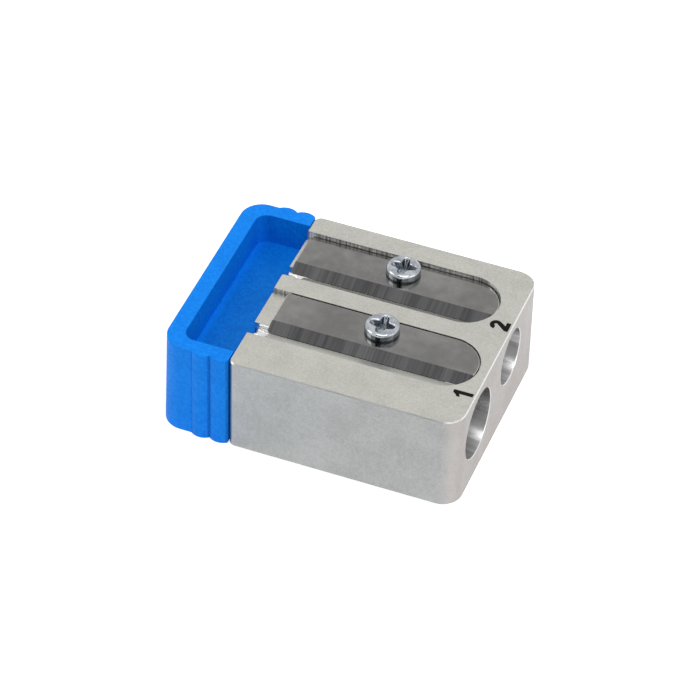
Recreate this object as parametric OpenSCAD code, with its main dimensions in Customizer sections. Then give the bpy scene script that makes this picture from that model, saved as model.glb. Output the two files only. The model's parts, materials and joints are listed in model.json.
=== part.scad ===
// Two-hole long-point pencil sharpener with a plug-in stop cap.
// Hole 1 shaves the wood and lays the lead bare, hole 2 shapes the lead.
// Millimetres, +Z up. X runs along the holes with their mouths at +X, Y runs across them.
// The origin is under the middle of the footprint, on the surface that it stands on.

/* [Block] */
// Length of the metal block, without the cap
block_l = 27.2; // [26:0.1:34]
// Width of the metal block
block_w = 26.9; // [25.8:0.1:34]
// Height of the metal block
block_h = 12.5; // [12:0.1:18]
// Corner radius at the end with the hole mouths
mouth_corner_r = 2.35; // [1:0.05:3]
// Corner radius at the end that meets the cap
cap_corner_r = 0.9; // [0.4:0.05:1.5]
// Chamfer round the top and bottom faces
edge_break = 0.12; // [0.05:0.01:0.3]

/* [Holes] */
// Mouth diameter of hole 1, the wood stage
hole_1_d = 8.2; // [7:0.1:9]
// Mouth diameter of hole 2, the lead stage
hole_2_d = 6.6; // [5:0.1:8]
// Metal left above the mouth of hole 1
hole_1_cover = 1.23; // [1:0.01:1.6]
// Metal left above the mouth of hole 2
hole_2_cover = 1.08; // [1:0.01:1.6]
// Slope of hole 1 and half angle of its cone
hole_1_slope = 8.1; // [7:0.1:9]
// Slope of hole 2 and half angle of its cone
hole_2_slope = 6.7; // [5.5:0.1:8]
// Diameter where hole 1 lets the lead out
tip_1_d = 2.6; // [2:0.1:3]
// Diameter where hole 2 lets the lead out
tip_2_d = 1.6; // [1:0.1:2.5]
// Distance between the two holes
hole_pitch = 10.74; // [10.2:0.01:13]
// Shift of the pair of holes off the middle, to leave room for the blades behind them
hole_shift = -1.32; // [-1.6:0.01:-1]
// Chamfer at each mouth
mouth_chamfer = 0.1; // [0.05:0.05:0.3]

/* [Blades] */
// Length of a blade
blade_l = 24.0; // [21:0.1:24.2]
// Width of a blade from its cutting edge to its back
blade_w = 6.44; // [5.6:0.01:6.6]
// Thickness of a blade
blade_t = 0.55; // [0.4:0.05:0.7]
// Width of the ground bevel behind the cutting edge
bevel_w = 1.6; // [0.8:0.05:2]
// Radius of the corners at a blade's square end
blade_corner_r = 0.4; // [0.1:0.05:0.8]
// Distance from the mouth end of the block to blade 1
blade_1_inset = 1.3; // [1:0.05:2]
// Distance from the mouth end of the block to blade 2
blade_2_inset = 2.7; // [2:0.05:3]
// Sideways place of cutting edge 1 from the middle of its hole
edge_1_shift = 0.13; // [-0.3:0.01:0.3]
// Sideways place of cutting edge 2 from the middle of its hole
edge_2_shift = -0.05; // [-0.3:0.01:0.3]
// How far the cutting edges reach into the cones
bite = 0.12; // [0.08:0.01:0.2]

/* [Pockets] */
// Depth of seat 1 under the top face, at the cutting edge
seat_1_depth = 0.6; // [0.55:0.01:0.9]
// Depth of seat 2 under the top face, at the cutting edge
seat_2_depth = 0.9; // [0.6:0.01:0.95]
// Angle at which seat 1 drops towards its back wall
seat_1_drop = 0; // [0:0.1:6]
// Angle at which seat 2 drops towards its back wall
seat_2_drop = 1.7; // [0:0.1:6]
// Clearance round a blade in its pocket
pocket_gap = 0.16; // [0.15:0.01:0.3]
// Width of the chip ramp in front of a cutting edge
ramp_w = 1.45; // [1.2:0.01:1.7]
// Slot between the lip of the ramp and the cutting edge
throat = 0.25; // [0.2:0.01:0.6]
// Thickness of the ramp's lip above the cone
lip_t = 0.03; // [0.02:0.01:0.06]
// Length of the open notch over the lead at the cap end
notch_l = 2.3; // [1:0.1:3]
// Width of that notch
notch_w = 2.5; // [2:0.1:3]
// Corner radius where the near wall of that notch meets the cap end
notch_corner_r = 0.35; // [0.1:0.05:0.6]
// Width of the relief groove along the back of a seat
relief_w = 0.3; // [0.2:0.05:0.4]
// Depth of that groove
relief_d = 0.25; // [0.1:0.05:0.4]

/* [Screws] */
// Diameter of a screw head
head_d = 4.0; // [3.4:0.1:4.4]
// Height of the side of a screw head
head_h = 0.75; // [0.5:0.05:1.2]
// Rise of the dome on a screw head
crown_h = 0.45; // [0.2:0.05:0.6]
// Clearance between a screw head and the back wall of the pocket
head_gap = 0.07; // [0.05:0.01:0.2]
// Rounding of the rim of a screw head
head_edge_r = 0.45; // [0.2:0.05:0.6]
// Diameter of a screw over its thread
shank_d = 2.0; // [1.6:0.1:2.2]
// Length of a screw under its head
shank_l = 6.0; // [4:0.1:6.5]
// Radial clearance of a screw in the block
thread_gap = 0.04; // [0.02:0.01:0.08]
// Radial clearance of a screw in its blade
blade_hole_gap = 0.15; // [0.1:0.01:0.3]
// Span of the star recess in a screw head, from tip to tip
star_span = 2.9; // [2:0.1:3]
// Distance between opposite inner corners of the star
star_waist = 1.45; // [0.8:0.05:1.6]
// Depth of the star recess
star_depth = 1.0; // [0.6:0.05:1.05]

/* [Stop cap] */
// Length of the cap along the block, at its base
cap_l = 8.5; // [7.5:0.1:11]
// Joint line between the cap and the block
joint_gap = 0.08; // [0.05:0.01:0.2]
// Outer corner radius of the cap
cap_outer_r = 2.6; // [1.5:0.1:3]
// Inner corner radius of the tray
tray_r = 1.4; // [0.6:0.1:2]
// Thickness of the end wall that stops the pencil, at its base
end_wall = 2.25; // [1.6:0.05:2.6]
// Draft of the outside of the end wall, which leans in towards the top
end_draft = 1.2; // [0:0.1:2]
// Distance from the side of the block to the inside of the tray
side_wall = 1.95; // [1.4:0.05:2.4]
// Depth of the tray under the top face
tray_depth = 4.0; // [2.5:0.1:5]
// Thickness of the tray's floor
floor_t = 1.6; // [1:0.1:2]
// Thickness of the cap's base under its hollow
base_t = 1.6; // [1:0.1:2]
// How far the flanks of the cap lie inside the sides of the block
flank_inset = 0.25; // [0.15:0.01:0.35]
// Height of a grip rib above the flank
rib_h = 0.4; // [0.2:0.02:0.45]
// Width of a grip rib
rib_w = 2.2; // [1.5:0.05:2.6]
// Number of grip ribs on each flank
rib_count = 2; // [1:1:2]
// Diameter of a plug peg
peg_d = 3.0; // [2:0.1:3.4]
// Length of a plug peg beyond the joint
peg_l = 6.5; // [4:0.1:8]
// Height of the pegs above the base
peg_z = 4.1; // [3.4:0.1:4.4]
// Distance between the two pegs
peg_pitch = 14.0; // [10:0.5:17]
// Radial clearance of a peg in its socket
peg_gap = 0.05; // [0.02:0.01:0.1]
// Room left beyond the tip of a peg
peg_room = 0.5; // [0.3:0.1:1]

/* [Hidden] */
$fn = 96;
over = 1; // how far a cutting shape runs past the face that it opens
sliver = 0.01; // overlap of shapes that are joined

// Values of the two stages, read by index
hole_r = [hole_1_d / 2, hole_2_d / 2];
cover = [hole_1_cover, hole_2_cover];
slope = [hole_1_slope, hole_2_slope];
tip_r = [tip_1_d / 2, tip_2_d / 2];
inset = [blade_1_inset, blade_2_inset];
seat_depth = [seat_1_depth, seat_2_depth];
seat_drop = [seat_1_drop, seat_2_drop];

// Axes of the holes at the mouth end. X is counted from the joint with the cap, Y from the near side.
hole_y = [for (side = [-1, 1]) block_w / 2 + hole_shift + side * hole_pitch / 2];
hole_z = [for (i = [0, 1]) block_h - cover[i] - hole_r[i]];
edge_y = [hole_y[0] + edge_1_shift, hole_y[1] + edge_2_shift];
roof_z = [for (i = [0, 1]) block_h - seat_depth[i] + bite];

// Guide and cone lengths along the axis: the cone's upper line runs level at roof_z
guide_l = [for (i = [0, 1]) (roof_z[i] - hole_z[i] - hole_r[i] * cos(slope[i])) / sin(slope[i])];
cone_l = [for (i = [0, 1]) (hole_r[i] - tip_r[i]) / tan(slope[i])];
axis_l = [for (i = [0, 1]) block_l / cos(slope[i]) + over];
tip_z = [for (i = [0, 1]) hole_z[i] + block_l * tan(slope[i])];

// Pocket outline
pocket_r = (blade_w + pocket_gap + ramp_w) / 2;
blade_end_r = pocket_r - pocket_gap;
arc_y = blade_w + pocket_gap - pocket_r;
arc_x = [for (i = [0, 1]) block_l - inset[i] - blade_end_r];
screw_y = blade_w + pocket_gap - head_gap - head_d / 2;
screw_x = [for (i = [0, 1]) block_l - inset[i] - blade_l / 2];

// Cap heights
tray_z = block_h - tray_depth;
hollow_z = tray_z - floor_t;

// Puts a shape drawn from the joint and the near side into the frame of the part
module in_place() {
    translate([(cap_l - block_l) / 2, -block_w / 2, 0]) children();
}

// Frame of a seat: X along the cutting edge, Y towards the back, Z square to the seat
module on_seat(i) {
    translate([0, edge_y[i], block_h - seat_depth[i]]) rotate([-seat_drop[i], 0, 0]) children();
}

// What is cut off a square corner at the origin to round it
module corner_waste(r) {
    difference() {
        translate([-over, -over]) square(r + over);
        translate([r, r]) circle(r);
    }
}

// Plan outline of the block
module block_outline() {
    difference() {
        square([block_l, block_w]);
        corner_waste(cap_corner_r);
        translate([0, block_w]) mirror([0, 1]) corner_waste(cap_corner_r);
        translate([block_l, 0]) mirror([1, 0]) corner_waste(mouth_corner_r);
        translate([block_l, block_w]) rotate(180) corner_waste(mouth_corner_r);
    }
}

// Waste of the chamfer on one rounded corner and the straight edge that follows it along X
module edge_waste(r, straight_l) {
    inner_r = r - edge_break;
    outer_r = r + over;
    translate([r, r]) rotate([0, 0, 180]) rotate_extrude(angle = 90)
        polygon([[inner_r, over], [inner_r, 0], [r, -edge_break], [outer_r, -edge_break], [outer_r, over]]);
    translate([r - sliver, 0, 0]) rotate([90, 0, 90]) linear_extrude(straight_l + 2 * sliver)
        polygon([[-over, over], [-over, -edge_break], [0, -edge_break], [edge_break, 0], [edge_break, over]]);
}

// Chamfer waste right round the outline of the block, for its top face
module rim_waste() {
    long_l = block_l - cap_corner_r - mouth_corner_r;
    edge_waste(cap_corner_r, long_l);
    translate([0, block_w, 0]) mirror([0, 1, 0]) edge_waste(cap_corner_r, long_l);
    translate([block_l, 0, 0]) rotate([0, 0, 90]) edge_waste(mouth_corner_r, block_w - 2 * mouth_corner_r);
    translate([block_l, block_w, 0]) mirror([0, 1, 0]) rotate([0, 0, 90]) edge_waste(mouth_corner_r, 0);
    translate([0, block_w, 0]) rotate([0, 0, -90]) edge_waste(cap_corner_r, block_w - 2 * cap_corner_r);
}

// Guide, cone and lead outlet of one hole, round one sloping axis
module hole_waste(i) {
    translate([block_l, hole_y[i], hole_z[i]]) {
        rotate([0, slope[i] - 90, 0]) rotate_extrude()
            polygon([
                [0, -over], [hole_r[i], -over], [hole_r[i], guide_l[i]],
                [tip_r[i], guide_l[i] + cone_l[i]], [tip_r[i], axis_l[i]], [0, axis_l[i]]
            ]);
        rotate([0, -90, 0]) translate([0, 0, -mouth_chamfer]) cylinder(
            h = 3 * mouth_chamfer, r1 = hole_r[i] + 2 * mouth_chamfer, r2 = hole_r[i] - mouth_chamfer);
    }
}

// Open notch over the lead outlet, where the point can be seen
module notch_waste(i) {
    notch_y = edge_y[i] - ramp_w + notch_w / 2;
    translate([-over, notch_y, tip_z[i]]) rotate([90, 0, 90]) linear_extrude(notch_l + over) {
        circle(notch_w / 2);
        translate([-notch_w / 2, 0]) square([notch_w, block_h]);
    }
    translate([0, notch_y - notch_w / 2, tip_z[i]]) linear_extrude(block_h)
        mirror([0, 1]) corner_waste(notch_corner_r);
}

// Plan outline of a pocket, open at the cap end and round at the mouth end
module pocket_outline(i, grow) {
    radius = pocket_r + grow;
    translate([-over, arc_y - radius]) square([arc_x[i] + over, 2 * radius]);
    translate([arc_x[i], arc_y]) circle(radius);
}

// Seat, relief groove and chip ramp of one blade
module pocket_waste(i) {
    lip_y = -throat;
    ramp_drop = seat_depth[i] - bite - lip_t;
    // seat, behind the lip of the ramp
    on_seat(i) intersection() {
        linear_extrude(block_h) pocket_outline(i, 0);
        translate([-over, lip_y, 0]) cube([block_l, block_w, block_h]);
    }
    // relief groove along the back wall and round the end
    on_seat(i) translate([0, 0, -relief_d]) intersection() {
        linear_extrude(relief_d + over) difference() {
            pocket_outline(i, 0);
            translate([-2 * over, 0]) pocket_outline(i, -relief_w);
            translate([-2 * over, arc_y - pocket_r]) square([arc_x[i] + 2 * over, pocket_r]);
        }
        translate([-over, arc_y, -over]) cube([block_l, block_w, block_h]);
    }
    // ramp, which falls to its lip just in front of the cutting edge
    translate([0, edge_y[i], 0]) intersection() {
        linear_extrude(block_h + over) pocket_outline(i, 0);
        translate([-over, 0, block_h]) rotate([90, 0, 90]) linear_extrude(block_l)
            polygon([
                [-ramp_w, 0], [lip_y, -ramp_drop], [lip_y + sliver, -ramp_drop],
                [lip_y + sliver, over], [-ramp_w, over]
            ]);
    }
}

// Metal block
module sharpener_block() {
    color([0.74, 0.73, 0.70]) in_place() difference() {
        linear_extrude(block_h) block_outline();
        translate([0, 0, block_h]) rim_waste();
        mirror([0, 0, 1]) rim_waste();
        for (i = [0, 1]) {
            hole_waste(i);
            notch_waste(i);
            pocket_waste(i);
            on_seat(i) translate([screw_x[i], screw_y, blade_t - shank_l - peg_room])
                cylinder(h = shank_l + over, r = shank_d / 2 + thread_gap);
        }
        for (side = [-1, 1])
            translate([-over, block_w / 2 + side * peg_pitch / 2, peg_z]) rotate([0, 90, 0])
                cylinder(h = over + peg_l + peg_room, r = peg_d / 2 + peg_gap);
    }
}

// Plan outline of a blade, with its cutting edge on the X axis
module blade_outline(i) {
    left_x = block_l - inset[i] - blade_l;
    difference() {
        union() {
            translate([left_x, 0]) square([arc_x[i] - left_x, blade_w]);
            intersection() {
                translate([arc_x[i], arc_y]) circle(blade_end_r);
                translate([arc_x[i] - sliver, 0]) square([blade_end_r + over, blade_w]);
            }
        }
        translate([left_x, 0]) corner_waste(blade_corner_r);
        translate([left_x, blade_w]) mirror([0, 1]) corner_waste(blade_corner_r);
    }
}

// One blade: a flat steel plate with a ground bevel on top of its cutting edge
module blade(i) {
    color([0.50, 0.50, 0.49]) in_place() on_seat(i) difference() {
        linear_extrude(blade_t) blade_outline(i);
        translate([-over, 0, 0]) rotate([90, 0, 90]) linear_extrude(block_l + 2 * over)
            polygon([
                [-over, 0], [0, 0], [bevel_w, blade_t], [bevel_w, blade_t + over], [-over, blade_t + over]
            ]);
        translate([screw_x[i], screw_y, -over])
            cylinder(h = blade_t + 2 * over, r = shank_d / 2 + blade_hole_gap);
    }
}

// Star recess of a screw head, drawn down from the origin and drawn in towards its floor
module star_recess() {
    translate([0, 0, -star_depth]) intersection() {
        linear_extrude(star_depth) polygon([
            for (k = [0:7]) (k % 2 == 0 ? star_span : star_waist) / 2 * [cos(45 * k), sin(45 * k)]
        ]);
        cylinder(h = star_depth, r1 = star_waist / 4, r2 = star_span / 2);
    }
}

// Half section of a screw head: straight side, rounded rim and shallow dome
module head_section() {
    head_r = head_d / 2;
    rim_x = head_r - head_edge_r;
    dome_r = (head_r * head_r + crown_h * crown_h) / (2 * crown_h);
    dome_z = head_h + crown_h - dome_r;
    rim_z = dome_z + sqrt(pow(dome_r - head_edge_r, 2) - rim_x * rim_x);
    square([head_r, rim_z]);
    translate([rim_x, rim_z]) circle(head_edge_r);
    intersection() {
        translate([0, dome_z]) circle(dome_r);
        square([rim_x * dome_r / (dome_r - head_edge_r), head_h + crown_h]);
    }
}

// One blade screw: pan head with a star recess, and a plain shank with a pointed end
module blade_screw(i) {
    color([0.80, 0.81, 0.83]) in_place() on_seat(i) translate([screw_x[i], screw_y, blade_t]) {
        difference() {
            rotate_extrude() head_section();
            translate([0, 0, head_h + crown_h]) star_recess();
        }
        translate([0, 0, -shank_l + shank_d / 2])
            cylinder(h = shank_l - shank_d / 2 + sliver, r = shank_d / 2);
        translate([0, 0, -shank_l]) cylinder(h = shank_d / 2, r1 = shank_d / 4, r2 = shank_d / 2);
    }
}

// Outside of the cap without its ribs: upright flanks, and an end wall that leans with its rounded corners
module cap_shell() {
    flank_w = block_w - 2 * flank_inset;
    intersection() {
        translate([-cap_l, flank_inset, 0]) rotate([0, end_draft, 0]) translate([0, 0, -over])
            linear_extrude(block_h + 2 * over) difference() {
                square([cap_l + over, flank_w]);
                corner_waste(cap_outer_r);
                translate([0, flank_w]) mirror([0, 1]) corner_waste(cap_outer_r);
            }
        translate([-cap_l - over, 0, 0]) cube([cap_l + over - joint_gap, block_w, block_h]);
    }
}

// Plan outline of the grip ribs next to the joint
module rib_outline() {
    rib_r = (rib_w * rib_w / 4 + rib_h * rib_h) / (2 * rib_h);
    rib_y = block_w / 2 - flank_inset + rib_h - rib_r;
    for (side = [-1, 1], rib = [0:rib_count - 1])
        translate([-joint_gap - (rib + 0.5) * rib_w, block_w / 2 + side * rib_y])
            intersection() {
                circle(rib_r);
                translate([-rib_w / 2, side > 0 ? 0 : -rib_r]) square([rib_w, rib_r]);
            }
}

// Inside outline of the tray, rounded at the end wall and open towards the block
module tray_outline() {
    tray_w = block_w - 2 * side_wall;
    translate([end_wall - cap_l, side_wall]) difference() {
        square([cap_l, tray_w]);
        corner_waste(tray_r);
        translate([0, tray_w]) mirror([0, 1]) corner_waste(tray_r);
    }
}

// Plastic stop cap: a tray for the points above a hollow base, on two plug pegs
module stop_cap() {
    color([0.10, 0.45, 0.93]) in_place() {
        difference() {
            union() {
                cap_shell();
                linear_extrude(block_h) rib_outline();
            }
            translate([0, 0, tray_z]) linear_extrude(tray_depth + over) tray_outline();
            translate([0, 0, base_t]) linear_extrude(hollow_z - base_t) difference() {
                tray_outline();
                for (side = [-1, 1]) translate([-cap_l, block_w / 2 + side * peg_pitch / 2 - peg_d / 2])
                    square([cap_l - joint_gap, peg_d]);
            }
        }
        for (side = [-1, 1]) translate([-joint_gap - over, block_w / 2 + side * peg_pitch / 2, peg_z])
            rotate([0, 90, 0]) cylinder(h = over + joint_gap + peg_l, r = peg_d / 2);
    }
}

sharpener_block();
stop_cap();
blade(0);  // blade_1
blade(1);  // blade_2
blade_screw(0);  // blade_screw_1
blade_screw(1);  // blade_screw_2
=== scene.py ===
"""Looks of a long-point pencil sharpener: metal block, two blades with their screws, and a plastic stop cap.

Everything is in metres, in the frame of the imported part: X runs along the holes with their mouths at +X,
Y runs across them from the wood hole to the lead hole, and Z is up.
"""

import json
import logging
import math
from collections.abc import Callable, Iterable, Mapping
from dataclasses import dataclass, field
from enum import Enum
from typing import ClassVar

import bmesh
import bpy
from mathutils import Matrix, Vector


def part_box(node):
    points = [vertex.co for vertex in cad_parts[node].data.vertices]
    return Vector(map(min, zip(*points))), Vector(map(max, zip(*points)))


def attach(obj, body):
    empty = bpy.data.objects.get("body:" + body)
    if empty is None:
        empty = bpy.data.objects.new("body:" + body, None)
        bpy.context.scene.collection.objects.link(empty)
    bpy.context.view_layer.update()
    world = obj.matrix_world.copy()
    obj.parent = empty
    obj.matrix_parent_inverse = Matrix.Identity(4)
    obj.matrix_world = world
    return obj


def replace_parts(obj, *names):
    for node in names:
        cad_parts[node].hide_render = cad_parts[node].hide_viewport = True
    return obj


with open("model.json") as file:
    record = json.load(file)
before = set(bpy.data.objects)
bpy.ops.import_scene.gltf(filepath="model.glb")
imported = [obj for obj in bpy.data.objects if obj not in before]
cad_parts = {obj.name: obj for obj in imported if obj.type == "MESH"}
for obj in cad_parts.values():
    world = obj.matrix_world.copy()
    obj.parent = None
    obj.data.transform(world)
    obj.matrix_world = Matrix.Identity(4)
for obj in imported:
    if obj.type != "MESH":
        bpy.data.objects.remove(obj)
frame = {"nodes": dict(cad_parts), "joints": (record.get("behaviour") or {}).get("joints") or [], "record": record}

LOG = logging.getLogger("sharpener")
MM = 0.001
MERGE_DISTANCE = 0.001 * MM
FLAT_ANGLE = math.radians(0.5)
CREASE_ANGLE = math.radians(32)
EDGE_SEGMENTS = 2

Colour = tuple[float, float, float]
Socket = bpy.types.NodeSocket
Shell = bmesh.types.BMesh
Face = bmesh.types.BMFace
Test = Callable[[Face], bool]


class Station(Enum):
    """The two stations of the sharpener."""

    WOOD = 1
    LEAD = 2

    @property
    def blade(self) -> str:
        """Node and body of this station's blade."""
        return f"blade_{self.value}"

    @property
    def screw_node(self) -> str:
        """Node of this station's screw."""
        return f"blade_screw_{self.value}"

    @property
    def screw_body(self) -> str:
        """Body of this station's screw."""
        return f"screw_{self.value}"

    @property
    def hole(self) -> str:
        """Name of this station's hole mount."""
        return f"pencil_hole_{self.value}"


class Slot(Enum):
    """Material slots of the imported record."""

    BLOCK = "block_metal"
    CAP = "cap_plastic"
    BLADE = "blade_steel"
    SCREW = "screw_plating"


class Look(Enum):
    """Finishes of the object."""

    TUMBLED = "tumbled_alloy"
    DRAWN = "drawn_alloy"
    BURNISHED = "burnished_alloy"
    MILLED = "milled_alloy"
    REAMED_WOOD = "reamed_alloy_1"
    REAMED_LEAD = "reamed_alloy_2"
    ROLLED = "rolled_steel"
    GROUND = "ground_steel"
    HONED = "honed_steel"
    PLATED = "bright_plating"
    RECESS = "recess_plating"
    TARNISHED = "tarnished_plating"
    MOULDED = "moulded_plastic"
    MOULDED_INSIDE = "moulded_plastic_inside"
    INK = "print_ink"


@dataclass(frozen=True)
class Axis:
    """A line in the part's frame.

    Args:
        point: A point on the line.
        along: Its unit direction.
        radius: Radius of the wall round it, or 0.
    """

    point: Vector
    along: Vector
    radius: float = 0.0

    def offset(self, place: Vector) -> Vector:
        """Shortest vector from the line to a place."""
        from_point = place - self.point
        return from_point - self.along * from_point.dot(self.along)


def hole_axis(station: Station) -> Axis:
    """Reads a pencil hole's axis from the record.

    Args:
        station: The station whose hole is wanted.

    Returns:
        The axis, pointing out of the mouth, with the radius of the guide.
    """
    mount = next(m for m in frame["record"]["mounts"] if m["name"] == station.hole)
    return Axis(Vector(mount["pos_m"]), Vector(mount["axis"]).normalized(), mount["dims"]["r_mm"] * MM)


def screw_axis(station: Station) -> Axis:
    """Reads a screw's axis from its joint.

    Args:
        station: The station whose screw is wanted.

    Returns:
        The axis, through the middle of the head's underside and pointing out of the head.
    """
    joint = next(j for j in frame["joints"] if j["name"] == f"{station.screw_body}_turn")
    return Axis(Vector(joint["pos_m"]), Vector(joint["axis"]).normalized())


# ---------------------------------------------------------------------------------------------------
# Shader graphs
# ---------------------------------------------------------------------------------------------------


class Graph:
    """A short way to place and link nodes in one shader tree."""

    def __init__(self, tree: bpy.types.NodeTree) -> None:
        """Takes the tree that the nodes go into."""
        self.tree = tree

    def feed(self, socket: Socket, value: object) -> None:
        """Links a socket to an input, or sets the input to a plain value.

        Args:
            socket: The input.
            value: A socket, a number, a vector or a colour.
        """
        if isinstance(value, Socket):
            self.tree.links.new(value, socket)
        elif socket.type == "RGBA" and len(value) == 3:
            socket.default_value = (*value, 1.0)
        else:
            socket.default_value = value

    def node(self, kind: str, values: Mapping[str, object] | None = None,
             **settings: object) -> bpy.types.Node:
        """Places one node.

        Args:
            kind: The node's type, without its ShaderNode prefix.
            values: Names or numbers of inputs, each with a plain value or a socket to link.
            settings: Properties of the node itself.

        Returns:
            The new node.
        """
        made = self.tree.nodes.new(f"ShaderNode{kind}")
        for name, value in settings.items():
            setattr(made, name, value)
        for name, value in (values or {}).items():
            self.feed(made.inputs[int(name) if name.isdigit() else name], value)
        return made

    def math(self, operation: str, *operands: object) -> Socket:
        """Places a Math node.

        Args:
            operation: Blender's name of the operation.
            operands: One to three numbers or sockets.

        Returns:
            The result's socket.
        """
        return self.node("Math", {str(i): v for i, v in enumerate(operands)}, operation=operation).outputs[0]

    def share(self, first: object, second: object, part: float) -> Socket:
        """Adds two values, the first of them counting for a given part.

        Args:
            first: The first value's socket.
            second: The second value's socket.
            part: Weight of the first, from 0 to 1.

        Returns:
            The sum's socket.
        """
        return self.math("MULTIPLY_ADD", first, part, self.math("MULTIPLY", second, 1.0 - part))

    def ramp(self, value: object, low: float, high: float, to_low: float = 0.0,
             to_high: float = 1.0) -> Socket:
        """Maps a value smoothly from one range to another and clamps it.

        Args:
            value: The socket to map.
            low: Start of its range.
            high: End of its range.
            to_low: Result at the start.
            to_high: Result at the end.

        Returns:
            The result's socket.
        """
        limits = {"From Min": low, "From Max": high, "To Min": to_low, "To Max": to_high}
        placed = self.node("MapRange", {"Value": value, **limits}, interpolation_type="SMOOTHSTEP")
        return placed.outputs["Result"]

    def tint(self, factor: Socket, first: object, second: object) -> Socket:
        """Mixes two colours.

        Args:
            factor: The socket that chooses between them, from 0 to 1.
            first: Colour at 0, or its socket.
            second: Colour at 1, or its socket.

        Returns:
            The mixed colour's socket.
        """
        mixed = self.node("Mix", data_type="RGBA", clamp_factor=True)
        self.feed(mixed.inputs["Factor"], factor)
        colours = [s for s in mixed.inputs if s.type == "RGBA"]
        self.feed(colours[0], first)
        self.feed(colours[1], second)
        return next(s for s in mixed.outputs if s.type == "RGBA")

    def bump(self, height: Socket, distance: float, strength: float) -> Socket:
        """Places a Bump node.

        Args:
            height: The height's socket, from 0 to 1.
            distance: Real height of 1.
            strength: Strength of the effect.

        Returns:
            The normal's socket.
        """
        values = {"Height": height, "Distance": distance, "Strength": strength}
        return self.node("Bump", values).outputs["Normal"]


class EffectGroup:
    """A node group that several finishes share. It puts out values only."""

    def __init__(self, name: str, inputs: Mapping[str, float], outputs: Iterable[str]) -> None:
        """Makes the empty group.

        Args:
            name: The group's name.
            inputs: Names of its number inputs, with their usual values.
            outputs: Names of its number outputs.
        """
        self.tree = bpy.data.node_groups.new(name, "ShaderNodeTree")
        sides = self.tree.interface
        sides.new_socket("Vector", in_out="INPUT", socket_type="NodeSocketVector")
        for socket_name, usual in inputs.items():
            socket = sides.new_socket(socket_name, in_out="INPUT", socket_type="NodeSocketFloat")
            socket.default_value = usual
        for socket_name in outputs:
            sides.new_socket(socket_name, in_out="OUTPUT", socket_type="NodeSocketFloat")
        self.graph = Graph(self.tree)
        self.given = self.tree.nodes.new("NodeGroupInput").outputs
        self.sink = self.tree.nodes.new("NodeGroupOutput")

    def noise(self, scale: object, detail: float, roughness: float = 0.5) -> Socket:
        """Places a noise texture on the group's vector.

        Args:
            scale: Cells per metre, or their socket.
            detail: Octaves of finer noise.
            roughness: Strength of the finer octaves.

        Returns:
            The noise's socket.
        """
        values = {"Vector": self.given["Vector"], "Scale": scale, "Detail": detail, "Roughness": roughness}
        return self.graph.node("TexNoise", values).outputs["Fac"]

    def put_out(self, name: str, value: Socket) -> None:
        """Links a value to one of the group's outputs."""
        self.graph.feed(self.sink.inputs[name], value)

    def place(self, graph: Graph, values: Mapping[str, object]) -> bpy.types.bpy_prop_collection:
        """Places the group in a material.

        Args:
            graph: The material's graph.
            values: Input names with values or sockets.

        Returns:
            The placed group's outputs.
        """
        made = graph.tree.nodes.new("ShaderNodeGroup")
        made.node_tree = self.tree
        for name, value in values.items():
            graph.feed(made.inputs[name], value)
        return made.outputs


@dataclass(frozen=True)
class Effects:
    """The shared effects.

    Args:
        mottle: Soft patches of two sizes.
        grain: Fine even grain with a few pits.
        marks: Tool marks, with fine lines and wider bands.
    """

    mottle: EffectGroup
    grain: EffectGroup
    marks: EffectGroup

    @classmethod
    def make(cls) -> "Effects":
        """Builds the three groups once."""
        return cls(cls._mottle(), cls._grain(), cls._marks())

    @staticmethod
    def _mottle() -> EffectGroup:
        """Builds the patches.

        Returns:
            The group, whose mask runs from 0 to 1.
        """
        narrower, wide_part = 6.0, 0.65
        group = EffectGroup("mottle", {"Patches": 250.0}, ["Mask"])
        wide = group.noise(group.given["Patches"], detail=3.0)
        narrow_scale = group.graph.math("MULTIPLY", group.given["Patches"], narrower)
        both = group.graph.share(wide, group.noise(narrow_scale, detail=2.0), wide_part)
        group.put_out("Mask", group.graph.ramp(both, low=0.32, high=0.68))
        return group

    @staticmethod
    def _grain() -> EffectGroup:
        """Builds the grain.

        Returns:
            The group, whose height and mask run from 0 to 1.
        """
        pits_to_grains, pit_radius = 0.35, 0.28
        group = EffectGroup("grain", {"Grains": 9000.0, "Pits": 0.3}, ["Height", "Mask"])
        graph = group.graph
        fine = group.noise(group.given["Grains"], detail=4.0, roughness=0.7)
        pit_scale = graph.math("MULTIPLY", group.given["Grains"], pits_to_grains)
        pits = graph.node("TexVoronoi", {"Vector": group.given["Vector"], "Scale": pit_scale})
        pit_mask = graph.ramp(pits.outputs["Distance"], 0.0, pit_radius, to_low=1.0, to_high=0.0)
        sunk = graph.math("MULTIPLY", pit_mask, group.given["Pits"])
        group.put_out("Height", graph.math("SUBTRACT", fine, sunk))
        group.put_out("Mask", graph.ramp(fine, low=0.35, high=0.65))
        return group

    @staticmethod
    def _marks() -> EffectGroup:
        """Builds the tool marks, which take their length from the scale of the vector.

        Returns:
            The group, whose lines and bands run from 0 to 1.
        """
        group = EffectGroup("tool_marks", {"Lines": 9000.0, "Bands": 500.0}, ["Lines", "Bands"])
        lines = group.noise(group.given["Lines"], detail=5.0, roughness=0.65)
        bands = group.noise(group.given["Bands"], detail=2.0)
        group.put_out("Lines", group.graph.ramp(lines, low=0.3, high=0.7))
        group.put_out("Bands", group.graph.ramp(bands, low=0.3, high=0.7))
        return group


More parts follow.
